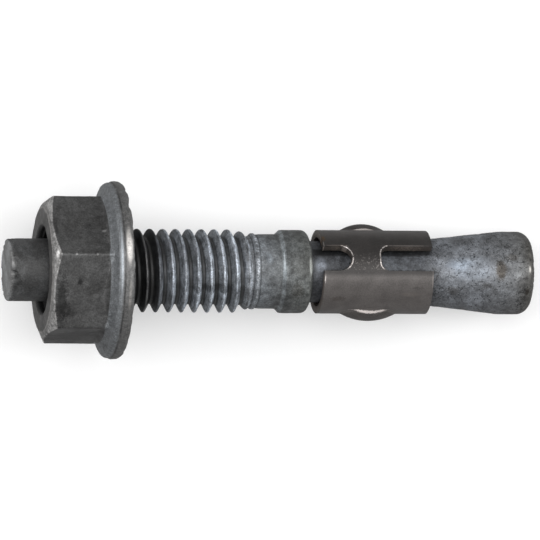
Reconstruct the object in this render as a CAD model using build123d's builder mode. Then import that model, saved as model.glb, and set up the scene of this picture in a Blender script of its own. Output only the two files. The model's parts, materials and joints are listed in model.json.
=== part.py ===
import os
from math import asin, atan2, cos, hypot, radians, sin, sqrt, tan

from build123d import *

# A wedge anchor lying on its side: a threaded stud with an expander cone at one end,
# a flange nut on its thread, and a spring steel clip round the neck before the cone.
# Sizes are in millimetres. A station is a distance along the stud from its dog point end,
# and a bearing is an angle round the stud from its upper side towards +Y, in degrees.

# Thread, right handed, on the stud and in the nut
thread_pitch = 1.25
thread_crest = 4.0
thread_root = 3.2
crest_half_width = 0.07
thread_clearance = 0.06
flank_slope = tan(radians(30))
thread_first = 5.41
thread_turns = 13
ridge_base = 3.1
lead_in = (1.0, -45.0)
run_out = (2.6, -10.0)
nut_bore = 4.1
nut_minor = 3.35
nut_turns = 4
nut_ridge_base = 4.2
nut_fade = (0.45, 63.5)

# Stud radii and stations
dog_radius = 3.0
dog_edge = 0.18
dog_end = 4.35
root_start = 4.65
root_end = 22.2
shank_start = 24.4
shank_radius = 3.59
collar_start = 26.04
collar_full = 26.5
collar_radius = 4.0
collar_bevel = 0.45
collar_end = 29.12
neck_radius = 2.95
cone_start = 38.25
cone_break = (42.7, 3.4)
land_start = 47.85
land_end = 49.72
land_radius = 4.0
end_round = 1.25
end_edge = (50.85, 3.28)
end_dome = 51.15

# Flange nut
nut_face = 3.36
bearing_face = 10.98
across_flats = 12.9
corner_bearing = 11.9
corner_radius = 7.44
face_radius = 5.93
face_chamfer = 0.72
flange_root = (8.42, 5.9)
flange_sink = 0.6
rim_front = 9.2
rim_middle = 10.18
rim_round = 1.21
rim_centre = 7.32
rim_back = 10.5
rim_edge = 8.23
mouth_radius = 4.35
tooth_count = 36
tooth_inner = 5.9
tooth_depth = 0.28
tooth_gap = 0.62

# Expansion clip
clip_start = 30.15
clip_end = 40.8
clip_inner = 3.3
clip_outer = 4.0
clip_edge = 0.12
slot_bearing = 20.0
slot_width = 2.5
slot_round = 0.9
front_slot_end = 32.87
rear_slot_start = 35.7
seam_width = 0.9
bump_bearings = (105.0, 285.0)
bump_station = 34.98
bump_half_length = 2.5
bump_height = 0.72
bump_half_width = 1.53
hollow_half_length = 2.3
hollow_half_flat = 1.0
hollow_radius = 0.72
hollow_end_radius = 0.1

# The anchor lies on the flange's rounded rim and on the rounded end of the cone's land.
end_centre = land_radius - end_round
span = hypot(land_end - rim_middle, rim_centre - end_centre)
tilt = atan2(rim_centre - end_centre, land_end - rim_middle) - asin((end_round - rim_round) / span)
rest_height = rim_middle * sin(tilt) + rim_centre * cos(tilt) + rim_round
along = Vector(cos(tilt), 0, -sin(tilt))
upward = Vector(sin(tilt), 0, cos(tilt))
dog_centre = Vector(-end_dome * cos(tilt) / 2, 0, rest_height)
section = Plane(origin=dog_centre, x_dir=along, z_dir=(0, -1, 0))
stud_axis = Axis(dog_centre, along)


def across(station):
    """Plane square to the stud at a station, its x axis on the upper side."""
    return Plane(origin=dog_centre + along * station, x_dir=upward, z_dir=along)


def outward(bearing):
    """Plane through the stud's axis that faces outward at a bearing, its x axis along the stud."""
    turn = radians(bearing)
    return Plane(origin=dog_centre, x_dir=along, z_dir=upward * cos(turn) + Vector(0, sin(turn), 0))


def half_width(radius):
    """Half the axial width of the stud's thread ridge at a radius."""
    return crest_half_width + (thread_crest - radius) * flank_slope


def gap_half_width(radius):
    """Half the axial width of the nut's thread ridge, which runs in the stud's groove."""
    return thread_pitch / 2 - half_width(radius) - thread_clearance


def helix_line(station, height, radius, heading=1, cone=0):
    """Right handed helix from the stud's upper side, towards the cone or back from it."""
    with BuildLine() as helix:
        Helix(
            thread_pitch,
            height,
            radius,
            center=dog_centre + along * station,
            direction=along * heading,
            cone_angle=cone,
        )
    # A helix that heads back starts on the lower side, so it gets half a turn.
    return helix.line if heading > 0 else helix.line.rotate(stud_axis, 180)


def thread_ridge(station, turns, base, tip, width_at, first_fade, last_fade):
    """Ridge of full turns, with a length at each end that leans away and sinks out of sight."""
    length = turns * thread_pitch
    full = helix_line(station, length, base)
    with BuildSketch(Plane(origin=full @ 0, x_dir=upward, z_dir=full % 0)) as profile:
        with BuildLine():
            Polyline(
                (0, -width_at(base)),
                (tip - base, -width_at(tip)),
                (tip - base, width_at(tip)),
                (0, width_at(base)),
                close=True,
            )
        make_face()
    first = helix_line(station, first_fade[0], base, heading=-1, cone=first_fade[1])
    last = helix_line(station + length, last_fade[0], base, cone=last_fade[1])
    with BuildPart() as ridge:
        sweep(profile.sketch, path=full, is_frenet=True)
        sweep(profile.sketch, path=first, is_frenet=True)
        sweep(profile.sketch.moved(Location(along * length)), path=last, is_frenet=True)
    return ridge.part


# Stud turned and rolled from one bar
with BuildPart() as stud:
    with BuildSketch(section):
        with BuildLine():
            Polyline(
                (end_dome, 0),
                (0, 0),
                (0, dog_radius - dog_edge),
                (dog_edge, dog_radius),
                (dog_end, dog_radius),
                (root_start, thread_root),
                (root_end, thread_root),
                (shank_start, shank_radius),
                (collar_start, shank_radius),
                (collar_full, collar_radius),
                (collar_end - collar_bevel, collar_radius),
                (collar_end, collar_radius - collar_bevel),
                (collar_end, neck_radius),
                (cone_start, neck_radius),
                cone_break,
                (land_start, land_radius),
                (land_end, land_radius),
            )
            RadiusArc((land_end, land_radius), end_edge, end_round)
            Line(end_edge, (end_dome, 0))
        make_face()
    revolve(axis=stud_axis)
    add(thread_ridge(thread_first, thread_turns, ridge_base, thread_crest, half_width, lead_in, run_out))
stud.part.label = "anchor_stud"

# Flange nut with a tapped bore and a serrated bearing face
rim_front_radius = rim_centre + sqrt(rim_round**2 - (rim_middle - rim_front) ** 2)
rim_back_radius = rim_centre + sqrt(rim_round**2 - (rim_back - rim_middle) ** 2)
nut_first = thread_first - thread_pitch / 2
with BuildPart() as nut:
    with BuildSketch(across(nut_face)):
        RegularPolygon(across_flats / 2, 6, major_radius=False, rotation=-corner_bearing)
    extrude(amount=flange_root[0] + flange_sink - nut_face)
    with BuildSketch(section):
        with BuildLine():
            Polyline(
                (nut_face, 0),
                (nut_face, face_radius),
                (nut_face + face_chamfer, corner_radius),
                (bearing_face, corner_radius),
                (bearing_face, 0),
                close=True,
            )
        make_face()
    revolve(axis=stud_axis, mode=Mode.INTERSECT)
    with BuildSketch(section):
        with BuildLine():
            Polyline(
                (rim_back, rim_back_radius),
                (bearing_face, rim_edge),
                (bearing_face, 0),
                (flange_root[0], 0),
                flange_root,
                (rim_front, rim_front_radius),
            )
            ThreePointArc(
                (rim_front, rim_front_radius),
                (rim_middle, rim_centre + rim_round),
                (rim_back, rim_back_radius),
            )
        make_face()
    revolve(axis=stud_axis)
    with BuildSketch(section):
        with BuildLine():
            Polyline(
                (nut_face, 0),
                (nut_face, mouth_radius),
                (nut_face + mouth_radius - nut_bore, nut_bore),
                (bearing_face - mouth_radius + nut_bore, nut_bore),
                (bearing_face, mouth_radius),
                (bearing_face, 0),
                close=True,
            )
        make_face()
    revolve(axis=stud_axis, mode=Mode.SUBTRACT)
    for tooth in range(tooth_count):
        with BuildSketch(outward(360 * tooth / tooth_count).offset(tooth_inner)):
            with BuildLine():
                Polyline(
                    (bearing_face + tooth_depth, -tooth_gap),
                    (bearing_face + tooth_depth, tooth_gap),
                    (bearing_face - tooth_depth, 0),
                    close=True,
                )
            make_face()
        extrude(amount=rim_centre, mode=Mode.SUBTRACT)
    add(thread_ridge(nut_first, nut_turns, nut_ridge_base, nut_minor, gap_half_width, nut_fade, nut_fade))
nut.part.label = "flange_nut"

# Clip rolled from strip, slotted from both ends, with two pressed bumps and an open seam
bump_centre = clip_outer + bump_height - bump_half_width


def bump_middle(bearing):
    """Plane on a bump's own axis, its x axis along the stud and its y axis outward."""
    facing = outward(bearing).z_dir
    middle = dog_centre + along * bump_station + facing * bump_centre
    return Plane(origin=middle, x_dir=along, z_dir=along.cross(facing))


with BuildPart() as clip:
    with BuildSketch(across(clip_start)):
        Circle(clip_outer)
    extrude(amount=clip_end - clip_start)
    chamfer(clip.edges().filter_by(GeomType.CIRCLE), clip_edge)
    for middle in [bump_middle(bearing) for bearing in bump_bearings]:
        low = bump_half_width - bump_height
        with BuildSketch(middle):
            with BuildLine():
                Polyline(
                    (-bump_half_length, low),
                    (-bump_half_length, 0),
                    (bump_half_length, 0),
                    (bump_half_length, low),
                )
                ThreePointArc((-bump_half_length, low), (0, bump_half_width), (bump_half_length, low))
            make_face()
        revolve(axis=Axis(middle.origin, along))
    with BuildSketch(across(clip_start)):
        Circle(clip_inner)
    extrude(amount=clip_end - clip_start, mode=Mode.SUBTRACT)
    for middle in [bump_middle(bearing) for bearing in bump_bearings]:
        with BuildSketch(middle):
            Polygon(
                (-hollow_half_length, 0),
                (-hollow_half_length, hollow_end_radius),
                (-hollow_half_flat, hollow_radius),
                (hollow_half_flat, hollow_radius),
                (hollow_half_length, hollow_end_radius),
                (hollow_half_length, 0),
                align=None,
            )
        revolve(axis=Axis(middle.origin, along), mode=Mode.SUBTRACT)
    with BuildSketch(outward(slot_bearing)):
        with Locations((clip_start, 0)):
            Rectangle(2 * (front_slot_end - clip_start) - slot_width, slot_width)
        with Locations((front_slot_end - slot_width / 2, 0)):
            Circle(slot_width / 2)
        with Locations((clip_end, 0)):
            RectangleRounded(2 * (clip_end - rear_slot_start), slot_width, slot_round)
    extrude(amount=2 * clip_outer, mode=Mode.SUBTRACT)
    with BuildSketch(outward(slot_bearing + 180)):
        with Locations(((clip_start + clip_end) / 2, 0)):
            Rectangle(2 * (clip_end - clip_start), seam_width)
    extrude(amount=2 * clip_outer, mode=Mode.SUBTRACT)
clip.part.label = "expansion_clip"

os.makedirs("parts", exist_ok=True)
export_step(stud.part, "parts/anchor_stud.step")
export_step(nut.part, "parts/flange_nut.step")
export_step(clip.part, "parts/expansion_clip.step")
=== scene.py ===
import json
from math import asin, atan2, ceil, cos, degrees, hypot, pi, radians, sin, sqrt, tan

import bpy
from mathutils import Matrix, Vector, noise


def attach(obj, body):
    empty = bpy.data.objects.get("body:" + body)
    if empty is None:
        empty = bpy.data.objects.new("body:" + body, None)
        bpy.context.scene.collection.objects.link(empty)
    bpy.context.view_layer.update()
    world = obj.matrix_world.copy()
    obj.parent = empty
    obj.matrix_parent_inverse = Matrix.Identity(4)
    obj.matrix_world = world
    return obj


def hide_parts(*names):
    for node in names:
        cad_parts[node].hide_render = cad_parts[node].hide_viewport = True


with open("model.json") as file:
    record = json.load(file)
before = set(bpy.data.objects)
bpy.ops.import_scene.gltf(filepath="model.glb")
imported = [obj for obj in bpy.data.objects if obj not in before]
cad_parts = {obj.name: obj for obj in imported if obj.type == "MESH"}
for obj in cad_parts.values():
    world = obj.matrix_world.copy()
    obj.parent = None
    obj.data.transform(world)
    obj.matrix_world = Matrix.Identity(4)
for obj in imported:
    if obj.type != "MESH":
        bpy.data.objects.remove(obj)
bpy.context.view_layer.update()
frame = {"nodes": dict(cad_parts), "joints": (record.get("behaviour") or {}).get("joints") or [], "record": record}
mm = 0.001
scene = bpy.context.scene

# The stud's own space is in millimetres: x along it from the dog point end, z to its upper side.
# A station is a distance along x, and a bearing is an angle round the stud from z towards y.
axis = Vector(frame["joints"][0]["axis"])
lean = asin(-axis.z)
strikeFace = next(m for m in frame["record"]["mounts"] if m["name"] == "strike_face")
dogCentre = Vector(strikeFace["pos_m"])


# Helpers for places and outlines

def polar(station, radius, bearing):
    return station, radius * sin(bearing), radius * cos(bearing)


# Points of an arc from its centre and radius, between two angles in degrees.
def arcPoints(centre, radius, start, stop, count):
    angles = [radians(start + (stop - start) * k / count) for k in range(count + 1)]
    return [(centre[0] + radius * cos(a), centre[1] + radius * sin(a)) for a in angles]


# The same run of points with none further apart than longest.
def dense(points, longest):
    run = [points[0]]
    for here, there in zip(points, points[1:]):
        parts = max(1, ceil(hypot(there[0] - here[0], there[1] - here[1]) / longest))
        run += [tuple(a + (b - a) * k / parts for a, b in zip(here, there)) for k in range(1, parts + 1)]
    return run


# Evenly spaced values from the first up to the last.
def ruled(first, last, step):
    return [first + step * k for k in range(int((last - first) / step + 1e-6) + 1)]


# Points of (station, radius) on the stud's upper side.
def inSection(points):
    return [(station, 0, radius) for station, radius in points]


# A value read off straight runs between known places.
def between(places, values, at):
    if at <= places[0]:
        return values[0]
    for a, b, va, vb in zip(places, places[1:], values, values[1:]):
        if at <= b:
            return va + (vb - va) * (at - a) / (b - a)
    return values[-1]


def smooth(low, high, at):
    t = min(1, max(0, (at - low) / (high - low)))
    return t * t * (3 - 2 * t)


# Slow unevenness between 0 and 1, as of metal that ran while it was dipped.
def lumpiness(at, scale, seed, octaves=3):
    return 0.5 + 0.5 * noise.fractal(at * scale + Vector((seed, seed * 2, seed * 3)), 0.8, 2.0, octaves)


# Helpers for modelling

def deselectAll():
    bpy.ops.object.select_all(action="DESELECT")


# One vertex at a place, in edit mode.
def startPoint(name, place):
    deselectAll()
    bpy.ops.mesh.primitive_plane_add(size=1, location=(0, 0, 0))
    piece = bpy.context.object
    piece.name = name
    bpy.ops.object.mode_set(mode="EDIT")
    bpy.ops.mesh.select_mode(type="VERT")
    bpy.ops.mesh.select_all(action="SELECT")
    bpy.ops.mesh.merge(type="CENTER")
    bpy.ops.transform.translate(value=place)
    return piece


# A run of edges through points, extruded from one vertex.
def drawOutline(name, points):
    piece = startPoint(name, points[0])
    for here, there in zip(points, points[1:]):
        step = Vector(there) - Vector(here)
        bpy.ops.mesh.extrude_vertices_move(TRANSFORM_OT_translate={"value": step})
    return piece


# The outline turned once round the stud's axis.
def spinOutline(steps):
    bpy.ops.mesh.select_all(action="SELECT")
    bpy.ops.mesh.spin(steps=steps, angle=2 * pi, center=(0, 0, 0), axis=(1, 0, 0))
    bpy.ops.mesh.select_all(action="SELECT")
    bpy.ops.mesh.remove_doubles(threshold=1e-4)


def faceOutward():
    bpy.ops.mesh.select_all(action="SELECT")
    bpy.ops.mesh.normals_make_consistent(inside=False)


def applyModifier(piece, kind, **settings):
    bpy.context.view_layer.objects.active = piece
    modifier = piece.modifiers.new(kind.title(), kind)
    for key, value in settings.items():
        setattr(modifier, key, value)
    bpy.ops.object.modifier_apply(modifier=modifier.name)


def joinPieces(pieces):
    deselectAll()
    for piece in pieces:
        piece.select_set(True)
    bpy.context.view_layer.objects.active = pieces[0]
    bpy.ops.object.join()
    return pieces[0]


# Bridges the two open loops that lie at these two stations.
def bridgeLoops(piece, stations):
    middle = sum(stations) / 2
    width = abs(stations[1] - stations[0]) / 2 + 0.004
    bpy.ops.mesh.select_mode(type="EDGE")
    bpy.ops.mesh.select_all(action="DESELECT")
    bpy.ops.mesh.select_non_manifold(
        extend=False, use_wire=False, use_boundary=True, use_multi_face=False, use_non_contiguous=False,
        use_verts=False,
    )
    bpy.ops.object.mode_set(mode="OBJECT")
    vertices = piece.data.vertices
    for edge in piece.data.edges:
        if edge.select and not all(abs(vertices[v].co.x - middle) < width for v in edge.vertices):
            edge.select = False
    bpy.ops.object.mode_set(mode="EDIT")
    bpy.ops.mesh.bridge_edge_loops()


# Sinks each vertex along its normal by a depth that depends on its place.
def weather(piece, depth):
    for vertex, normal in [(v, v.normal.copy()) for v in piece.data.vertices]:
        vertex.co -= normal * depth(vertex.co)


# From the stud's own space into the frame, then its place goes into the mesh.
def seat(piece):
    turn = Matrix.Rotation(lean, 4, "Y")
    piece.matrix_world = Matrix.Translation(dogCentre) @ turn @ Matrix.Scale(mm, 4)
    deselectAll()
    piece.select_set(True)
    bpy.context.view_layer.objects.active = piece
    bpy.ops.object.transform_apply(location=True, rotation=True, scale=True)
    bpy.ops.object.shade_smooth_by_angle(angle=radians(32))


# Thread, the stud's own and in the nut

thread = {
    "pitch": 1.25,
    "crest": 4.0,
    "root": 3.2,
    "crestStation": 5.41,       # a crest on the stud's upper side
    "crestFlat": 0.13,
    "leadTurns": 2.5,           # drawn ahead of that crest
    # The flank as shares of its length ahead of the crest's flat, and of the thread's depth
    "flank": [(1.0, 0.0), (0.86, 0.1), (0.5, 0.5), (0.1, 0.92), (0.0, 0.985)],
    "grain": 0.14,
    "steps": 96,
}
# A flank's length along the stud, with 60 degrees between two flanks
thread["flankLength"] = (thread["crest"] - thread["root"]) * tan(radians(30))


# A helical skin of whole turns. Its crests and roots follow two runs of stations and radii.
def threadSkin(name, spec, turns, crests, roots, ends):
    pitch = spec["pitch"]
    half = pitch / 2
    flankEnd = half - spec["crestFlat"] / 2
    points = [(0.0, 0.0)]
    points += [(flankEnd - spec["flankLength"] * ahead, depth) for ahead, depth in spec["flank"]]
    points += [(half, 1.0)]
    points += [(pitch - station, depth) for station, depth in reversed(points[:-1])]
    start = spec["crestStation"] - spec["leadTurns"] * pitch
    drawnRadius = 2
    outline = [(start + station, drawnRadius + depth) for station, depth in dense(points, spec["grain"])]
    piece = drawOutline(name, inSection(outline))
    bpy.ops.object.mode_set(mode="OBJECT")
    applyModifier(
        piece, "SCREW", axis="X", angle=2 * pi, screw_offset=pitch, iterations=turns,
        steps=spec["steps"], render_steps=spec["steps"], use_merge_vertices=True, merge_threshold=1e-4,
    )
    for vertex in piece.data.vertices:
        station = vertex.co.x
        depth = hypot(vertex.co.y, vertex.co.z) - drawnRadius
        root = between(*roots, station)
        radius = root + (between(*crests, station) - root) * depth
        vertex.co = polar(station, radius, atan2(vertex.co.y, vertex.co.z))
    bpy.ops.object.mode_set(mode="EDIT")
    bpy.ops.mesh.select_all(action="SELECT")
    bpy.ops.mesh.remove_doubles(threshold=1e-3)
    for station, clearInner in zip(ends, (True, False)):
        bpy.ops.mesh.select_all(action="SELECT")
        bpy.ops.mesh.bisect(
            plane_co=(station, 0, 0), plane_no=(1, 0, 0), clear_inner=clearInner, clear_outer=not clearInner,
            threshold=1e-4,
        )
    bpy.ops.object.mode_set(mode="OBJECT")
    return piece


# Stud

stud = {
    "turns": 18,
    "threadEnds": (4.3, 24.62),
    "joint": 0.1,               # from the thread's ends to the plain parts
    # Stations and radii. The last turns run out into a low ring, where the rolled length ends.
    "crests": (
        [4.35, 5.2, 21.9, 22.66, 23.3, 23.5, 23.66, 23.9, 24.06, 24.2, 24.5],
        [3.0, 4.0, 4.0, 3.8, 3.64, 3.5, 3.66, 3.66, 3.5, 3.54, 3.57],
    ),
    "roots": (
        [4.35, 4.7, 22.2, 23.1, 23.5, 23.66, 23.9, 24.06, 24.2, 24.5],
        [3.0, 3.2, 3.2, 3.3, 3.42, 3.62, 3.66, 3.48, 3.54, 3.57],
    ),
    "dogRadius": 3.0,
    "dogEdge": 0.22,
    "dogRows": 0.07,            # between rows where the edge is chipped
    "shankRadius": 3.57,
    # Points of (station, radius), and rounds of (centre, radius, first and last angle, steps)
    "collarFront": [(25.95, 3.58), (26.08, 3.59), (26.47, 3.98), (26.7, 4.0), (28.5, 4.0)],
    "collarBack": ((28.5, 3.4), 0.6, 84, 6, 8),
    "neck": [(29.12, 3.2), (29.14, 3.0), (29.3, 2.95), (38.0, 2.95)],
    "cone": [
        (38.5, 2.97), (42.2, 3.35), (43.2, 3.45), (47.3, 3.93), (47.9, 3.985), (48.4, 4.0), (49.6, 4.0),
    ],
    "coneEnd": ((49.72, 2.75), 1.25, 90, 26, 10),
    "endFace": [(50.88, 2.9), (50.97, 2.0), (51.06, 1.0), (51.15, 0.0)],
    "grain": 0.22,
    "steps": 128,
    "lumps": 0.05,
    "pits": 0.3,
    "coneRise": (38.5, 41.0),   # stations over which the neck's wear turns into the cone's
    "collarRise": (25.9, 26.4),
    "collarFall": (29.2, 29.5),
    "chipSink": 0.11,           # as a share of the radius
    "chipBack": 0.4,
}


# How deep the surface is sunk: dents and pits on the cone, less on the collar and the thread.
def studWear(at):
    dents = lumpiness(at, 0.7, 2) * stud["lumps"]
    pits = max(0, lumpiness(at, 1.9, 11) - 0.6) * stud["pits"]
    onCone = smooth(*stud["coneRise"], at.x)
    onCollar = smooth(*stud["collarRise"], at.x) * (1 - smooth(*stud["collarFall"], at.x))
    return dents * (0.35 + 0.65 * onCone + 0.4 * onCollar) + pits * (onCone + 0.4 * onCollar)


# Chips along the dog point's edge.
def chipDog(body, spec):
    for vertex in body.data.vertices:
        station, radius = vertex.co.x, hypot(vertex.co.y, vertex.co.z)
        if station < 1.0 and radius > 2.3:
            around = Vector((vertex.co.y, vertex.co.z, 0)).normalized()
            at = around * 3.4 + Vector((4, 1, 7 + station * 0.8))
            bite = smooth(-0.15, 0.9, noise.fractal(at, 0.8, 2.0, 3))
            near = 1 - smooth(0.0, 1.0, station + 1.4 * (spec["dogRadius"] - radius))
            keep = 1 - spec["chipSink"] * bite * near
            vertex.co.y *= keep
            vertex.co.z *= keep
            vertex.co.x += spec["chipBack"] * bite * near * near


def dogOutline(spec):
    radius, edge = spec["dogRadius"], spec["dogEdge"]
    points = [(0.0, 0.0), (0.0, radius - edge - 0.03)] + arcPoints((edge, radius - edge), edge, 180, 90, 4)
    points += [(edge + spec["dogRows"] * k, radius) for k in range(1, 13)]
    return points + [(spec["threadEnds"][0] - spec["joint"], radius)]


def tailOutline(spec):
    points = [(spec["threadEnds"][1] + spec["joint"], spec["shankRadius"])] + spec["collarFront"]
    points += arcPoints(*spec["collarBack"]) + spec["neck"] + spec["cone"]
    return points + arcPoints(*spec["coneEnd"]) + spec["endFace"]


def buildStud(spec):
    parts = [threadSkin("studBody", thread, spec["turns"], spec["crests"], spec["roots"], spec["threadEnds"])]
    for name, outline in (("dogEnd", dogOutline(spec)), ("coneEnd", tailOutline(spec))):
        parts.append(drawOutline(name, inSection(dense(outline, spec["grain"]))))
        spinOutline(spec["steps"])
        bpy.ops.object.mode_set(mode="OBJECT")
    body = joinPieces(parts)
    bpy.ops.object.mode_set(mode="EDIT")
    first, last = spec["threadEnds"]
    bridgeLoops(body, (first - spec["joint"], first))
    bridgeLoops(body, (last, last + spec["joint"]))
    faceOutward()
    bpy.ops.object.mode_set(mode="OBJECT")
    weather(body, studWear)
    chipDog(body, spec)
    return body


studBody = buildStud(stud)
seat(studBody)
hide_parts("anchor_stud")
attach(studBody, "stud")
print("stud built", len(studBody.data.polygons))


# Flange nut

nut = {
    "face": 3.36,
    "bearingFace": 10.98,
    "acrossFlats": 12.9,
    "cornerBearing": 11.9,
    "cornerRound": 0.3,
    "edgeRound": 0.11,
    "faceRadius": 5.93,
    "chamferLength": 0.72,
    "chamferRise": 1.51,
    "flangeFront": ([5.9, 6.44, 7.44, 8.1, 8.28], [8.42, 8.5, 9.1, 9.34, 9.45]),      # radii and stations
    "flangeEdge": 8.1,
    "bore": 4.1,
    "boreEnds": (3.95, 10.4),
    "joint": 0.08,              # from the bore's thread to its mouths
    "turns": 9,
    "crests": ([3.95, 4.5, 9.9, 10.4], [4.1, 3.35, 3.35, 4.1]),
    "roots": ([3.95, 10.4], [4.1, 4.1]),
    "crestFlat": 0.24,
    "flankLength": 0.433,
    # Distances behind the face and radii, then rows of the chamfer, the edge and the flats as shares
    "mouth": [
        (0.28, 4.1), (0.22, 4.13), (0.05, 4.31), (0, 4.38), (0, 4.7), (0, 5.1), (0, 5.5), (0, 5.78),
        (0.01, 5.87),
    ],
    "chamferRows": (0.05, 0.2, 0.4, 0.6, 0.78),
    "edgeRows": (0.0, 0.2, 0.4, 0.6, 0.8, 1.0),
    "flatRows": 14,
    # Ahead of the flange, and outside the flats
    "fillet": [(0.06, 0.006), (0.025, 0.022), (0.0, 0.06), (-0.015, 0.14)],
    "filletRise": 0.14,
    "flangeRows": (0.25, 0.5, 0.75, 1.0),
    "hexRows": (9, 41),         # rows whose columns crowd towards the corners
    "rim": [
        (9.42, 8.24), (9.56, 8.335), (9.68, 8.385), (9.79, 8.4), (9.88, 8.4), (9.96, 8.43), (10.06, 8.49),
        (10.18, 8.52), (10.32, 8.53), (10.46, 8.53), (10.6, 8.515), (10.72, 8.48), (10.83, 8.43),
        (10.92, 8.36),
    ],
    # Radii of the bearing face, and how far its teeth are sunk there as a share of their depth
    "teethRows": [
        (8.26, 0.1), (8.0, 0.7), (7.5, 1.0), (6.9, 1.0), (6.4, 1.0), (6.05, 0.6), (5.85, 0.0), (5.4, 0.0),
        (4.9, 0.0),
    ],
    "backMouth": [(0, 4.42), (-0.04, 4.33), (-0.2, 4.14), (-0.27, 4.1)],
    "teeth": 36,
    "toothDepth": 0.28,
    "toothSides": (0.2, 4.2),   # degrees from a groove's middle
    "columns": 216,
    "lumps": 0.05,
}


# How far the hexagon reaches at a bearing counted from its nearest corner, with rounded corners.
def hexReach(spec, fromCorner):
    turn = radians(abs(fromCorner))
    rounding = spec["cornerRound"]
    centre = (spec["acrossFlats"] / 2 - rounding) / cos(radians(30))
    touch = atan2(centre * sin(radians(30)), spec["acrossFlats"] / 2)
    if turn < radians(30) - touch:
        return centre * cos(turn) + sqrt(rounding ** 2 - (centre * sin(turn)) ** 2)
    return spec["acrossFlats"] / 2 / cos(radians(30) - turn)


# The nut's section from the front of the bore out, over the flange and back to the bore, as points of
# (station, radius), for the hexagon's reach and the teeth's depth at one bearing.
def nutSection(spec, reach, groove):
    face, back = spec["face"], spec["bearingFace"]
    slope = spec["chamferLength"] / spec["chamferRise"]
    edge = face + slope * (reach - spec["faceRadius"])

    def flangeAt(radius):
        return between(*spec["flangeFront"], radius)

    points = [(spec["boreEnds"][0] - spec["joint"], spec["bore"])]
    points += [(face + behind, radius) for behind, radius in spec["mouth"]]
    for share in spec["chamferRows"]:
        out = (reach - spec["faceRadius"]) * share
        points.append((face + slope * out, spec["faceRadius"] + out))
    for share in spec["edgeRows"]:
        before, after = (1 - share) ** 2 * spec["edgeRound"], share ** 2 * spec["edgeRound"]
        points.append((edge - before * 0.43 + after, reach - before * 0.9))
    start, stop = edge + spec["edgeRound"], flangeAt(reach) - 0.12
    points += [(start + (stop - start) * k / spec["flatRows"], reach) for k in range(1, spec["flatRows"] + 1)]
    points += [(flangeAt(reach + up * 0.6) - ahead, reach + up) for ahead, up in spec["fillet"]]
    inner = reach + spec["filletRise"]
    for share in spec["flangeRows"]:
        radius = inner + (spec["flangeEdge"] - inner) * share
        points.append((flangeAt(radius) + 0.02, radius))
    points += spec["rim"]
    points += [(back - groove * share, radius) for radius, share in spec["teethRows"]]
    points += [(back + ahead, radius) for ahead, radius in spec["backMouth"]]
    return points + [(spec["boreEnds"][1] + spec["joint"], spec["bore"])]


# Depth of the bearing face's teeth at a bearing in degrees, a little different for each.
def grooveAt(spec, bearing):
    step = 360 / spec["teeth"]
    fromGroove = abs((bearing + step / 2) % step - step / 2)
    uneven = 0.75 + 0.35 * noise.noise(Vector((round(bearing / step) * 1.7, 3, 5)))
    return spec["toothDepth"] * (1 - smooth(*spec["toothSides"], fromGroove)) * uneven


# Crowds the columns towards the hexagon's corners on the hexagon's own rows.
def crowded(spec, fromCorner, row):
    first, last = spec["hexRows"]
    share = smooth(first - 4, first, row) * (1 - smooth(last, last + 6, row))
    closer = 30 * (abs(fromCorner) / 30) ** 1.35 * (1 if fromCorner > 0 else -1)
    return fromCorner + (closer - fromCorner) * share


# How deep the surface is sunk: a little all over, and in dents along the rim's back edge.
def nutWear(at):
    onRim = smooth(10.1, 10.8, at.x) * smooth(7.9, 8.2, hypot(at.y, at.z))
    along = Vector((at.y, at.z, at.x * 0.4))
    small = max(0, lumpiness(along, 0.55, 8) - 0.42) * 0.3
    large = max(0, lumpiness(along, 1.6, 3) - 0.5) * 0.12
    return nut["lumps"] * lumpiness(at, 0.9, 5) + (small + large) * onRim


def buildNut(spec):
    rowCount = len(nutSection(spec, spec["acrossFlats"] / 2, 0))
    skin = drawOutline("flangeNut", [(row, 0, 10) for row in range(rowCount)])
    spinOutline(spec["columns"])
    bpy.ops.object.mode_set(mode="OBJECT")
    for vertex in skin.data.vertices:
        row = round(vertex.co.x)
        turn = degrees(atan2(vertex.co.y, vertex.co.z))
        corner = round(turn / 60) * 60
        fromCorner = crowded(spec, turn - corner, row)
        bearing = spec["cornerBearing"] + corner + fromCorner
        section = nutSection(spec, hexReach(spec, fromCorner), grooveAt(spec, bearing))
        vertex.co = polar(*section[row], radians(bearing))
    boreThread = {**thread, "crestFlat": spec["crestFlat"], "flankLength": spec["flankLength"]}
    bore = threadSkin("nutBore", boreThread, spec["turns"], spec["crests"], spec["roots"], spec["boreEnds"])
    body = joinPieces([skin, bore])
    bpy.ops.object.mode_set(mode="EDIT")
    first, last = spec["boreEnds"]
    bridgeLoops(body, (first - spec["joint"], first))
    bridgeLoops(body, (last, last + spec["joint"]))
    faceOutward()
    bpy.ops.object.mode_set(mode="OBJECT")
    weather(body, nutWear)
    return body


flangeNut = buildNut(nut)
seat(flangeNut)
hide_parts("flange_nut")
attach(flangeNut, "nut")
print("nut built", len(flangeNut.data.polygons))


# Expansion clip

clip = {
    "ends": (30.15, 40.8),
    "outer": 4.0,
    "thickness": 0.7,
    "slotBearing": 20.0,
    "slotHalf": 1.27,
    "frontSlotEnd": 32.87,
    "rearSlotStart": 35.7,
    "rearSlotRound": 0.9,
    "seamBearing": 200.0,
    "seamHalf": 0.45,
    "bumps": ((107.0, 34.75, 2.35), (-80.0, 35.05, 2.75)),      # bearing, station, half length
    "bumpHeight": 0.74,
    "bumpHalfWidth": 1.4,
    "bumpFoot": 0.004,          # softens the bump's foot, in square millimetres
    "edge": 0.09,
    "columnStep": 0.3,
    "bumpColumns": (32.3, 37.6, 0.1),
    "bearingStep": 2.5,
    "bumpTurn": 28.9,           # degrees on either side of a bump that get columns of their own
}


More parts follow.
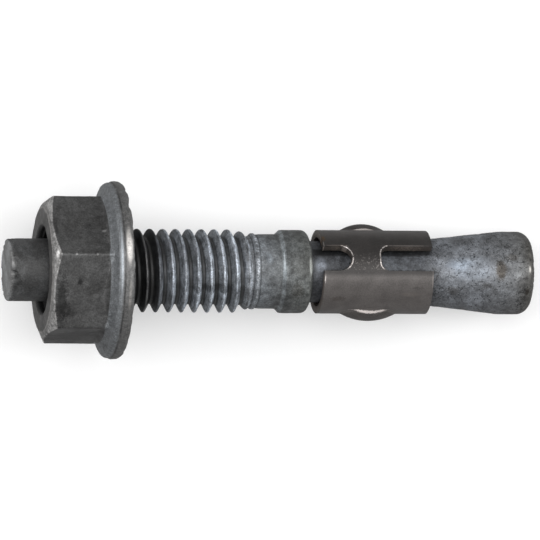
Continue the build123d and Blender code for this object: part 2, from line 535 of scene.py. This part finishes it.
# The strip's outline before it is rolled: x is the station, y the length round the outside.
def stripOutline(spec):
    perDegree = radians(1) * spec["outer"]
    first, last = spec["ends"]
    low = (spec["seamBearing"] - 360) * perDegree + spec["seamHalf"]
    high = spec["seamBearing"] * perDegree - spec["seamHalf"]
    middle = spec["slotBearing"] * perDegree
    half = spec["slotHalf"]
    turn = spec["rearSlotRound"]
    inner = spec["rearSlotStart"] + turn
    points = [(first, low), (first, middle - half)]
    points += arcPoints((spec["frontSlotEnd"] - half, middle), half, -90, 90, 20)
    points += [(first, middle + half), (first, high), (last, high), (last, middle + half)]
    points += arcPoints((inner, middle + half - turn), turn, 90, 180, 10)
    points += arcPoints((inner, middle - half + turn), turn, 180, 270, 10)
    points += [(last, middle - half), (last, low)]
    return [(x, y, 0) for x, y in points]


# The outside's radius with the bumps, each an arc along the clip and round it.
def bumpReach(spec, station, bearing):
    rise = 0.0
    centre = spec["outer"] + spec["bumpHeight"] - spec["bumpHalfWidth"]
    for middle, peak, halfLength in spec["bumps"]:
        bow = (halfLength ** 2 + spec["bumpHeight"] ** 2) / (2 * spec["bumpHeight"])
        along = abs(station - peak)
        off = radians((bearing - middle + 180) % 360 - 180)
        if along > halfLength + 0.4 or abs(off) > 0.6:
            continue
        half = spec["bumpHalfWidth"] - bow + sqrt(max(0, bow ** 2 - along ** 2))
        under = half ** 2 - (centre * sin(off)) ** 2
        if half <= 0 or under <= 0:
            continue
        over = centre * cos(off) + sqrt(under) - spec["outer"]
        rise = 0.5 * (over + sqrt(over ** 2 + spec["bumpFoot"]))
    return spec["outer"] + rise


def buildClip(spec):
    sheet = drawOutline("clipSheet", stripOutline(spec))
    bpy.ops.mesh.select_all(action="SELECT")
    bpy.ops.mesh.edge_face_add()
    perDegree = radians(1) * spec["outer"]
    first, last = spec["ends"]
    step = spec["columnStep"]
    bumpFirst, bumpLast, bumpStep = spec["bumpColumns"]
    columns = ruled(first + step, bumpFirst, step) + ruled(bumpFirst, bumpLast, bumpStep)
    columns += ruled(bumpLast + step / 2, last, step)
    turn = spec["bearingStep"]
    bearings = ruled(spec["seamBearing"] - 360 + 3 * turn, spec["seamBearing"] - 3 * turn, turn)
    for middle, peak, halfLength in spec["bumps"]:
        bearings += ruled(middle - spec["bumpTurn"], middle + spec["bumpTurn"], turn)
    cuts = [((x, 0, 0), (1, 0, 0)) for x in columns]
    cuts += [((0, bearing * perDegree, 0), (0, 1, 0)) for bearing in bearings]
    for place, facing in cuts:
        bpy.ops.mesh.select_all(action="SELECT")
        bpy.ops.mesh.bisect(plane_co=place, plane_no=facing, threshold=1e-5)
    bpy.ops.object.mode_set(mode="OBJECT")
    for vertex in sheet.data.vertices:
        station, bearing = vertex.co.x, vertex.co.y / perDegree
        vertex.co = polar(station, bumpReach(spec, station, bearing), radians(bearing))
    bpy.ops.object.mode_set(mode="EDIT")
    faceOutward()
    bpy.ops.object.mode_set(mode="OBJECT")
    applyModifier(sheet, "SOLIDIFY", thickness=spec["thickness"], offset=-1, use_even_offset=True)
    applyModifier(
        sheet, "BEVEL", width=spec["edge"], segments=3, limit_method="ANGLE", angle_limit=radians(50),
        use_clamp_overlap=True,
    )
    bpy.ops.object.mode_set(mode="EDIT")
    faceOutward()
    bpy.ops.object.mode_set(mode="OBJECT")
    return sheet


clipSheet = buildClip(clip)
seat(clipSheet)
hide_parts("expansion_clip")
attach(clipSheet, "clip")
print("clip built", len(clipSheet.data.polygons))


# Finishes

# Wraps a socket, so that maths on values is written as Python.
class Signal:
    def __init__(self, bench, socket):
        self.bench = bench
        self.socket = socket

    def maths(self, operation, *others):
        return self.bench.maths(operation, self, *others)

    def __add__(self, other):
        return self.maths("ADD", other)

    def __sub__(self, other):
        return self.maths("SUBTRACT", other)

    def __mul__(self, other):
        return self.maths("MULTIPLY", other)

    def __truediv__(self, other):
        return self.maths("DIVIDE", other)

    def __rsub__(self, other):
        return self.bench.maths("SUBTRACT", other, self)

    def __rtruediv__(self, other):
        return self.bench.maths("DIVIDE", other, self)

    __radd__ = __add__
    __rmul__ = __mul__


# One material, with the stud's own coordinates in millimetres to draw its patterns in.
class Bench:
    def __init__(self, name):
        self.material = bpy.data.materials.new(name)
        self.material.use_nodes = True
        self.tree = self.material.node_tree
        self.shader = self.tree.nodes["Principled BSDF"]
        place = self.add("ShaderNodeTexCoord", {}, {}, "Object")
        back = Matrix.Rotation(-lean, 3, "Y") @ dogCentre / -mm
        self.local = self.add(
            "ShaderNodeMapping", {"vector_type": "POINT"},
            {"Vector": place, "Scale": (1 / mm, 1 / mm, 1 / mm), "Rotation": (0, -lean, 0), "Location": back},
        )
        self.station = self.add("ShaderNodeSeparateXYZ", {}, {0: self.local}, "X")
        side = self.add("ShaderNodeSeparateXYZ", {}, {0: self.local}, "Y")
        height = self.add("ShaderNodeSeparateXYZ", {}, {0: self.local}, "Z")
        self.bearing = side.maths("ARCTAN2", height)
        self.radius = (side * side + height * height).maths("SQRT")
        self.rolled = self.add(
            "ShaderNodeCombineXYZ", {}, {0: self.station, 1: self.bearing * 1.2, 2: self.radius * 0.5},
        )

    def add(self, kind, settings, inputs, output=0):
        node = self.tree.nodes.new(kind)
        for key, value in settings.items():
            if key == "stops":
                self.setStops(node.color_ramp, value)
            else:
                setattr(node, key, value)
        for key, value in inputs.items():
            self.feed(node.inputs[key], value)
        return Signal(self, node.outputs[output])

    def maths(self, operation, *values):
        return self.add("ShaderNodeMath", {"operation": operation}, dict(enumerate(values)))

    def setStops(self, ramp, stops):
        while len(ramp.elements) < len(stops):
            ramp.elements.new(1.0)
        for element, (position, colour) in zip(ramp.elements, stops):
            element.position = position
            element.color = (*colour, 1)

    def feed(self, socket, value):
        if isinstance(value, Signal):
            self.tree.links.new(value.socket, socket)
        else:
            socket.default_value = value

    # From 0 to 1 between two values of a signal.
    def rise(self, signal, low, high):
        return self.add(
            "ShaderNodeMapRange", {"interpolation_type": "SMOOTHSTEP"},
            {"Value": signal, "From Min": low, "From Max": high},
        )

    # 1 between two values of a signal, with soft ends.
    def window(self, signal, low, high, soft):
        return self.rise(signal, low - soft, low + soft) * (1 - self.rise(signal, high - soft, high + soft))

    def grain(self, scale, detail=2.0, rough=0.5, stretch=(1, 1, 1), offset=(0, 0, 0), at=None):
        inputs = {"Vector": at or self.local, "Scale": stretch, "Location": offset}
        place = self.add("ShaderNodeMapping", {}, inputs)
        return self.add(
            "ShaderNodeTexNoise", {"noise_dimensions": "3D"},
            {"Vector": place, "Scale": scale, "Detail": detail, "Roughness": rough},
        )

    def blend(self, share, first, second):
        settings = {"data_type": "RGBA", "blend_type": "MIX"}
        return self.add("ShaderNodeMix", settings, {"Factor": share, 6: first, 7: second}, 2)

    # The tone made darker or lighter, by one factor where the share is 0 and another where it is 1.
    def vary(self, tone, share, first, second, warm=0.0):
        settings = {"data_type": "RGBA", "blend_type": "MULTIPLY"}
        factor = self.blend(share, grey(first), grey(second, warm))
        return self.add("ShaderNodeMix", settings, {"Factor": 1.0, 6: tone, 7: factor}, 2)

    # A patch of some length and turn round the stud, with a ragged edge. Angles are in degrees.
    def mark(self, station, bearing, length, turn, ragged):
        along = (self.station - station) * (2 / length)
        about = (self.bearing - radians(bearing)) * (2 / radians(turn))
        reach = (along * along + about * about).maths("SQRT") + (ragged - 0.5) * 2.4
        return 1 - self.rise(reach, 0.45, 1.1)

    # Patches are (station, bearing, length, turn, times as light, warmth): stains, rust and wear, and also painted
    # glints, highlights and shade.
    def addMarks(self, tone, ragged, marksAndPaintedLight):
        for station, bearing, length, turn, times, warm in marksAndPaintedLight:
            tone = self.vary(tone, self.mark(station, bearing, length, turn, ragged), 1, times, warm)
        return tone

    def bump(self, height, strength):
        inputs = {"Strength": strength, "Distance": 0.02 * mm, "Height": height}
        return self.add("ShaderNodeBump", {}, inputs)

    def finish(self, **sockets):
        for key, value in sockets.items():
            self.feed(self.shader.inputs[key.replace("_", " ")], value)
        return self.material


def grey(level, warm=0.0):
    return level * (1 + warm), level, level * (1 - warm), 1


zinc = {
    "blotches": 0.55,           # to a millimetre
    "clouds": 1.6,
    "fine": 7.0,
    "length": 51.15,
    # Places as shares of the stud's length, and colours. The near-black stretch from 0.218 to 0.272 is a painted
    # shadow of the nut's flange on the first turns of the thread, and the light first stop is partly painted light
    # on the dog point's end face.
    "toneAndShadeBands": [
        (0.0, (0.27, 0.27, 0.27)), (0.005, (0.076, 0.076, 0.076)), (0.20, (0.065, 0.065, 0.065)),
        (0.218, (0.014, 0.014, 0.014)), (0.272, (0.02, 0.02, 0.021)), (0.292, (0.20, 0.21, 0.225)),
        (0.40, (0.27, 0.285, 0.305)), (0.455, (0.22, 0.23, 0.245)), (0.475, (0.16, 0.17, 0.18)),
        (0.51, (0.122, 0.127, 0.128)), (0.565, (0.108, 0.112, 0.106)), (0.575, (0.07, 0.073, 0.08)),
        (0.78, (0.085, 0.09, 0.10)), (0.81, (0.15, 0.157, 0.17)), (0.90, (0.175, 0.182, 0.195)),
        (0.955, (0.15, 0.152, 0.155)), (0.985, (0.085, 0.081, 0.074)),
    ],
    "threadWearAndLight": (10.7, 23.2),
    "flangeShadowEnd": (13.5, 14.0),
    "ring": (23.66, 23.92),
    "ringDitches": ((23.42, 23.52), (24.02, 24.1)),
    "collarEdgeHighlight": (26.14, 26.46),
    "collarEdgeShade": (26.56, 27.1),
    "clipShadow": (29.4, 40.9),
    "clipShadowTurn": (31, 46),
    # The light patches are painted glints and highlights. The last three dark ones are painted shade at the front
    # slot's round end and painted shadow lines along the slots' lower edges; the other dark ones are stains and
    # darker patches.
    "marksAndPaintedLight": [
        (44.6, 6, 5.0, 44, 1.4, -0.04), (47.4, 3, 1.3, 32, 0.5, 0.16), (50.3, 5, 0.3, 12, 4.0, 0.0),
        (0.3, 14, 0.5, 22, 2.2, 0.0), (0.7, -18, 0.7, 26, 0.5, 0.0), (0.25, -12, 0.3, 12, 2.0, 0.0),
        (28.85, 7, 0.38, 28, 3.6, 0.0), (26.3, 14, 0.16, 40, 2.2, 0.0), (49.2, -6, 1.4, 20, 1.35, 0.0),
        (50.1, -28, 0.5, 14, 0.4, 0.1), (48.6, 22, 1.6, 14, 0.6, 0.05), (42.9, -30, 1.8, 18, 0.6, 0.04),
        (46.1, -20, 1.2, 12, 0.6, 0.03), (43.4, 14, 3.2, 26, 1.25, -0.03), (20.0, -28, 6.0, 16, 0.55, 0.0),
        (30.0, 12, 1.3, 34, 2.8, -0.03), (24.9, 20, 0.8, 22, 1.5, -0.03), (27.6, -25, 1.6, 30, 0.75, 0.03),
        (32.3, 18, 1.3, 44, 0.5, 0.0), (38.6, 0.5, 6.4, 8, 0.3, 0.0), (31.5, 0.5, 2.6, 8, 0.35, 0.0),
    ],
}


# The thread's light crests and back flanks, partly wear and partly painted highlights and painted light, and its
# dark lines and roots.
def threadWearAndLight(bench, spec, tone, streaks, fine):
    inThread = bench.window(bench.station, *spec["threadWearAndLight"], 0.3)
    pastFlangeShadow = bench.rise(bench.station, *spec["flangeShadowEnd"])
    turns = (bench.station - thread["crestStation"]) * (1 / thread["pitch"]) + bench.bearing * (0.5 / pi)
    phase = turns.maths("FRACT")
    backFlank = bench.window(phase, 0.03, 0.27, 0.05) + bench.rise(bench.radius, 3.88, 3.97)
    wornAndLit = backFlank * inThread * bench.rise(streaks + fine * 0.3, 0.5, 0.76)
    # Past the flange's painted shadow the crests and back flanks are lightened, as wear and painted light; inside
    # it the crests get thin painted highlights.
    tone = bench.vary(tone, wornAndLit * pastFlangeShadow, 1, 2.4, -0.03)
    tone = bench.blend(wornAndLit * (1 - pastFlangeShadow) * bench.rise(bench.radius, 3.9, 3.98) * 0.7, tone, grey(0.16))
    lines = bench.grain(9.0, 3, 0.6, stretch=(1, 0.12, 1), at=bench.rolled, offset=(3, 1, 2))
    tone = bench.vary(tone, bench.rise(lines, 0.53, 0.63) * inThread, 1, 0.38)
    depth = (1 - bench.rise(bench.radius, 3.21, 3.42)) * inThread
    return bench.blend(depth * 0.85, tone, grey(0.03)), wornAndLit, inThread


# Painted glints on the ring behind the thread, a painted highlight on the collar's edge with painted shade behind
# it, a painted shadow of the clip on the neck, and darker ditches beside the ring.
def shankTone(bench, spec, tone, uneven):
    # Painted glints on the ring.
    ring = bench.window(bench.station, *spec["ring"], 0.06)
    tone = bench.vary(tone, ring * bench.rise(uneven, 0.9, 1.15), 1, 1.7)
    # A painted highlight on the collar's front chamfer, and painted shade just behind it.
    tone = bench.vary(tone, bench.window(bench.station, *spec["collarEdgeHighlight"], 0.06), 1, 1.7, -0.03)
    tone = bench.vary(tone, bench.window(bench.station, *spec["collarEdgeShade"], 0.12), 1, 0.8)
    # A painted shadow of the clip's upper slot walls on the neck, darker between these bearings.
    low, high = [radians(turn) for turn in spec["clipShadowTurn"]]
    clipShadow = bench.window(bench.station, *spec["clipShadow"], 0.3)
    tone = bench.vary(tone, bench.window(bench.bearing, low, high, radians(3)) * clipShadow, 1, 0.2)
    front, rear = [bench.window(bench.station, *ditch, 0.05) for ditch in spec["ringDitches"]]
    return bench.vary(tone, (front + rear) * 0.85, 1, 0.25)


# Pits, and on the cone dark lines that wander.
def pittedTone(bench, tone, onCone):
    worms = bench.grain(1.15, 3, 0.5, offset=(4, 4, 9))
    thin = 1 - bench.rise((worms - 0.5).maths("ABSOLUTE"), 0.004, 0.03)
    gate = bench.rise(bench.grain(0.8, 2, 0.5, offset=(1, 6, 2)), 0.46, 0.58)
    tone = bench.vary(tone, thin * gate * onCone, 1, 0.4)
    specks = bench.rise(bench.grain(4.2, 1, 0.4, offset=(5, 5, 5)), 0.64, 0.7)
    return bench.vary(tone, specks * (0.3 + onCone * 0.7), 1, 0.35)


# Zinc that has run grey and dull, in stretches along the stud, among them a painted shadow of the flange and
# painted light on the dog point's end face.
def studZinc(spec):
    bench = Bench("studZinc")
    blotch = bench.grain(spec["blotches"], 4, 0.6)
    cloud = bench.grain(spec["clouds"], 5, 0.65, offset=(7, 3, 1))
    fine = bench.grain(spec["fine"], 2, 0.7)
    streaks = bench.grain(5.0, 4, 0.65, stretch=(1, 0.35, 1), at=bench.rolled)
    onCone = bench.rise(bench.station, *stud["coneRise"])
    even = onCone * 0.4 + (1 - bench.rise(bench.station, 3.9, 4.6)) * 0.6
    mottle = bench.rise(cloud, 0.3, 0.72)
    mottle = mottle + (0.5 - mottle) * even
    along = bench.station * (1 / spec["length"])
    tone = bench.add("ShaderNodeValToRGB", {"stops": spec["toneAndShadeBands"]}, {0: along})
    tone = bench.vary(tone, bench.rise(blotch, 0.35, 0.7), 0.72, 1.3, -0.02)
    tone = bench.vary(tone, mottle, 0.6, 1.4)
    tone = bench.vary(tone, bench.rise(fine, 0.3, 0.7), 0.7, 1.3)
    tone, wornAndLit, inThread = threadWearAndLight(bench, spec, tone, streaks, fine)
    tone = shankTone(bench, spec, tone, cloud + fine)
    tone = pittedTone(bench, tone, onCone)
    tone = bench.addMarks(tone, blotch * 0.3 + cloud * 0.3 + fine * 0.4, spec["marksAndPaintedLight"])
    bump = bench.bump(fine + cloud * 1.5 + streaks * inThread * 1.5, 0.6)
    return bench.finish(Base_Color=tone, Roughness=0.4 + fine * 0.22 - wornAndLit * 0.1, Metallic=0.45, Normal=bump)


nutFinish = {
    "flats": (grey(0.052, 0.01), grey(0.09)),
    "flange": grey(0.19, -0.05),
    "rim": grey(0.125, 0.01),
    "chamfer": grey(0.19, 0.015),
    # Nearly black, as painted shade in the bore
    "bore": grey(0.012),
    # The light patches on the corner edge, the chamfer and the rim are painted glints and highlights, and the
    # light one at 8.45 is a scratch. The dark ones at -78 and -58 degrees are painted shade on the lower side; the
    # other dark ones are stains and darker patches.
    "marksAndPaintedLight": [
        (4.3, -25, 1.3, 54, 0.35, 0.0), (4.7, -34, 1.2, 16, 0.5, 0.0), (6.0, -10, 0.6, 6, 0.3, 0.0),
        (8.45, 35, 0.5, 3, 3.0, 0.0), (5.5, 11.9, 0.3, 2.0, 3.0, 0.0), (7.5, 11.9, 0.22, 2.0, 3.0, 0.0),
        (3.8, 13, 0.3, 8, 2.6, 0.0), (9.7, 6, 0.3, 54, 1.9, -0.02), (10.38, 16, 0.7, 28, 4.5, 0.03),
        (10.5, -16, 0.4, 24, 1.9, 0.03), (6.9, 40, 1.1, 9, 0.6, 0.0), (5.2, -38, 1.3, 8, 0.55, 0.0),
        (7.6, -22, 0.7, 5, 1.5, 0.0), (4.8, -18, 0.9, 6, 0.6, 0.0), (8.6, 30, 0.3, 3, 0.4, 0.0),
        (6.4, -78, 7.0, 50, 0.5, 0.0), (9.2, -58, 1.4, 56, 0.8, 0.0), (3.9, 40, 0.4, 30, 0.7, 0.0),
    ],
}


# The nut's zinc is darker on the flats and the rim, and lighter on the chamfer, the end face and the flange front,
# partly as painted light on the faces that look towards the nut end's lamp.
def nutZinc(spec):
    bench = Bench("nutZinc")
    blotch = bench.grain(0.5, 4, 0.6, offset=(3, 1, 8))
    cloud = bench.grain(2.2, 4, 0.65, offset=(6, 2, 1))
    fine = bench.grain(zinc["fine"], 3, 0.7)
    tone = bench.blend(bench.rise(blotch, 0.3, 0.7), *spec["flats"])
    onFlange = bench.rise(bench.radius + (bench.station - 8.9) * 2.0, 6.75, 7.0)
    onRim = bench.rise(bench.station, 9.65, 10.05) * bench.rise(bench.radius, 7.6, 8.0)
    tone = bench.blend(onFlange, tone, spec["flange"])
    tone = bench.blend(onRim, tone, spec["rim"])

    # How far the surface lies behind the cone of the chamfer, in millimetres
    slope = nut["chamferLength"] / nut["chamferRise"]
    behind = bench.station - nut["face"] - (bench.radius - nut["faceRadius"]) * slope
    tone = bench.blend(1 - bench.rise(behind, 0.02, 0.1), tone, spec["chamfer"])
    # Painted light: the end face is lighter.
    face = 1 - bench.rise(bench.station, nut["face"] + 0.04, nut["face"] + 0.14)
    tone = bench.vary(tone, face, 1, 1.45, 0.015)
    # A painted highlight along the edge between the chamfer and the flats.
    edge = bench.window(behind, 0.0, 0.1, 0.04) * bench.rise(bench.radius, 6.1, 6.4)
    tone = bench.vary(tone, edge * bench.rise(blotch * 0.6 + cloud * 0.4, 0.4, 0.56), 1, 2.2)

    tone = bench.vary(tone, bench.rise(cloud, 0.3, 0.7), 0.78, 1.22)
    tone = bench.vary(tone, bench.rise(fine, 0.3, 0.7), 0.68, 1.32)
    # Painted shade in the crease between the flange front and the rim.
    creaseShade = bench.window(bench.station, 9.88, 10.04, 0.07) * onFlange * bench.rise(blotch, 0.35, 0.6)
    tone = bench.vary(tone, creaseShade, 1, 0.4)
    # The bore is painted nearly black, as painted shade.
    shadedBore = 1 - bench.rise(bench.radius, nut["bore"] + 0.05, nut["bore"] + 0.3)
    tone = bench.blend(shadedBore * 0.95, tone, spec["bore"])
    tone = bench.addMarks(tone, blotch * 0.3 + cloud * 0.3 + fine * 0.4, spec["marksAndPaintedLight"])
    bump = bench.bump(fine + cloud + blotch, 0.6)
    return bench.finish(Base_Color=tone, Roughness=0.4 + fine * 0.18, Metallic=0.5, Normal=bump)


clipFinish = {
    "steel": ((0.108, 0.099, 0.095, 1), (0.135, 0.124, 0.119, 1)),
    "upperDarkStart": (-9, 0),             # bearings over which the darker upper half begins
    "upperDarkFade": (46, 75),
    "web": (33.0, 35.7),
    "glint": (0.03, 0.13),      # from and to, in millimetres outside a slot's round end
    # The first patch is rust. The light ones at the ends, on the bumps and along the slots' upper edges are
    # painted glints and highlights; the last three are uneven tone.
    "marksAndPaintedLight": [
        (30.3, 53, 0.5, 14, 1.0, 0.4), (30.22, 41, 0.12, 12, 4.0, 0.0), (30.22, -10, 0.12, 14, 4.0, 0.0),
        (34.9, -64.0, 3.6, 3.6, 9.0, 0.0), (34.6, 88.5, 2.9, 3.4, 7.0, 0.0), (40.72, -6, 0.12, 40, 2.0, 0.0),
        (38.4, 39.2, 5.2, 2.6, 3.2, 0.03), (31.5, 39.2, 2.4, 2.6, 2.6, 0.05), (32.3, 36, 0.8, 6, 3.0, 0.0),
        (31.6, -40, 1.8, 10, 0.8, 0.03), (38.6, -32, 2.2, 8, 1.2, 0.02), (39.2, -22, 1.4, 4, 0.8, 0.0),
    ],
}


# A painted glint along the edge of the slots' round ends.
def slotGlint(bench, spec):
    half = clip["slotHalf"]
    turn = clip["rearSlotRound"]
    across = (bench.bearing - radians(clip["slotBearing"])) * clip["outer"]
    past = bench.station - (clip["frontSlotEnd"] - half)
    front = (past * past + across * across).maths("SQRT") - half
    before = (clip["rearSlotStart"] + turn - bench.station).maths("MAXIMUM", 0.0)
    beside = (across.maths("ABSOLUTE") - (half - turn)).maths("MAXIMUM", 0.0)
    rear = (before * before + beside * beside).maths("SQRT") - turn
    onFront = bench.window(front, *spec["glint"], 0.03) * bench.rise(past, 0.2, 0.5)
    onRear = bench.window(rear, *spec["glint"], 0.03) * bench.rise(before, 0.1, 0.3)
    return (onFront + onRear) * bench.rise(across, -1.25, -0.9) * bench.rise(bench.radius, 3.86, 3.94)


# Brownish spring steel under thin zinc, darker on its upper half.
def clipSteel(spec):
    bench = Bench("clipSteel")
    cloud = bench.grain(0.8, 3, 0.5, offset=(2, 5, 4))
    fine = bench.grain(9.0, 2, 0.6)
    tone = bench.blend(bench.rise(cloud, 0.3, 0.7), *spec["steel"])
    tone = bench.vary(tone, bench.rise(fine, 0.3, 0.7), 0.85, 1.15)
    start = bench.rise(bench.bearing, *[radians(turn) for turn in spec["upperDarkStart"]])
    stop = bench.rise(bench.bearing, *[radians(turn) for turn in spec["upperDarkFade"]])
    tone = bench.vary(tone, start * (1 - stop * 0.5), 1, 0.33)
    # Painted glints sparkle on the web between the slots.
    web = bench.window(bench.station, *spec["web"], 0.2)
    web = web * bench.window(bench.bearing, radians(2), radians(24), radians(6))
    paintedSparkle = bench.rise(bench.grain(6.0, 2, 0.6, offset=(8, 1, 3)), 0.56, 0.64)
    tone = bench.vary(tone, paintedSparkle * web, 1, 3.4)
    broken = bench.rise(fine + bench.grain(3.0, 2, 0.5, offset=(2, 2, 6)), 0.8, 1.05)
    tone = bench.vary(tone, slotGlint(bench, spec) * broken, 1, 12.0)
    tone = bench.vary(tone, bench.rise(bench.radius, 4.04, 4.16), 1, 0.7)
    # Painted light: the slot walls and the inside are lighter and warmer.
    paintedWallLight = 1 - bench.rise(bench.radius, 3.86, 3.94)
    tone = bench.vary(tone, paintedWallLight, 1, 1.7, 0.06)
    tone = bench.addMarks(tone, cloud * 0.3 + fine * 0.7, spec["marksAndPaintedLight"])
    return bench.finish(
        Base_Color=tone, Roughness=0.36 + fine * 0.1, Metallic=0.5, Normal=bench.bump(fine, 0.2),
    )


finishes = {
    "anchor_stud": studZinc(zinc),
    "flange_nut": nutZinc(nutFinish),
    "expansion_clip": clipSteel(clipFinish),
}
for name, node in frame["nodes"].items():
    node.data.materials.clear()
    node.data.materials.append(finishes[name])
for name, piece in (("anchor_stud", studBody), ("flange_nut", flangeNut), ("expansion_clip", clipSheet)):
    piece.data.materials.append(finishes[name])
print("finishes done", len(finishes))


# Stage

camera = {
    "lens": 600.0,
    "sensor": 36.0,
    "viewWidth": 51.67 * mm,     # width of the picture at the stud
    "aheadOfSide": 11.7,         # degrees from a square side view, towards the nut
    "roll": 0.394,               # degrees, the stud falls to the right
    "middleStation": 25.62 * mm,
    "middleRise": 0.134 * mm,
}


def addCamera(spec):
    tip = radians(spec["aheadOfSide"]) - lean
    forward = Vector((sin(tip), 0, -cos(tip)))
    level = Vector((cos(tip), 0, sin(tip)))
    roll = radians(spec["roll"])
    right = level * cos(roll) + Vector((0, 1, 0)) * sin(roll)
    up = Vector((0, 1, 0)) * cos(roll) - level * sin(roll)
    target = dogCentre + axis * spec["middleStation"] + up * spec["middleRise"]
    distance = spec["viewWidth"] * spec["lens"] / spec["sensor"]
    data = bpy.data.cameras.new("photoCamera")
    data.lens = spec["lens"]
    data.sensor_width = spec["sensor"]
    eye = bpy.data.objects.new("photoCamera", data)
    turn = Matrix((right, up, -forward)).transposed().to_4x4()
    eye.matrix_world = Matrix.Translation(target - forward * distance) @ turn
    scene.collection.objects.link(eye)
    scene.camera = eye


addCamera(camera)
scene.view_settings.view_transform = "Standard"

deselectAll()
bpy.ops.mesh.primitive_plane_add(size=3)
ground = bpy.context.object
ground.name = "ground"


# The floor is white where it is seen, and gives back less light, as a floor with room round it does.
def groundPaint():
    bench = Bench("groundPaint")
    seen = bench.add("ShaderNodeLightPath", {}, {}, "Is Camera Ray")
    white = bench.add("ShaderNodeBsdfDiffuse", {}, {"Color": grey(0.93)})
    glow = bench.add("ShaderNodeEmission", {}, {"Color": grey(1.0), "Strength": 1.0})
    white = bench.add("ShaderNodeMixShader", {}, {0: 0.4, 1: white, 2: glow})
    dim = bench.add("ShaderNodeBsdfDiffuse", {}, {"Color": grey(0.3)})
    both = bench.add("ShaderNodeMixShader", {}, {0: seen, 1: dim, 2: white})
    bench.feed(bench.tree.nodes["Material Output"].inputs["Surface"], both)
    bench.tree.nodes.remove(bench.shader)
    return bench.material


ground.data.materials.append(groundPaint())

# Soft boxes: place and size in metres, aimed at the middle of the stud
lamps = {
    "overheadBox": {"place": (-0.04, 0.04, 0.50), "size": 0.50, "power": 2.2},
    "nutEndBox": {"place": (-0.42, 0.08, 0.22), "size": 0.20, "power": 0.8},
    "coneEndBox": {"place": (0.42, 0.05, 0.20), "size": 0.20, "power": 1.2},
}


def addLamp(name, spec):
    data = bpy.data.lights.new(name, "AREA")
    data.shape = "SQUARE"
    data.size = spec["size"]
    data.energy = spec["power"]
    lamp = bpy.data.objects.new(name, data)
    place = Vector(spec["place"])
    aim = Vector((0, 0, 0.008)) - place
    lamp.matrix_world = Matrix.Translation(place) @ aim.to_track_quat("-Z", "Y").to_matrix().to_4x4()
    scene.collection.objects.link(lamp)


for name, spec in lamps.items():
    addLamp(name, spec)

world = bpy.data.worlds.new("studio")
scene.world = world
world.use_nodes = True
world.node_tree.nodes["Background"].inputs["Color"].default_value = (1, 1, 1, 1)
world.node_tree.nodes["Background"].inputs["Strength"].default_value = 0.3

print("stage set")
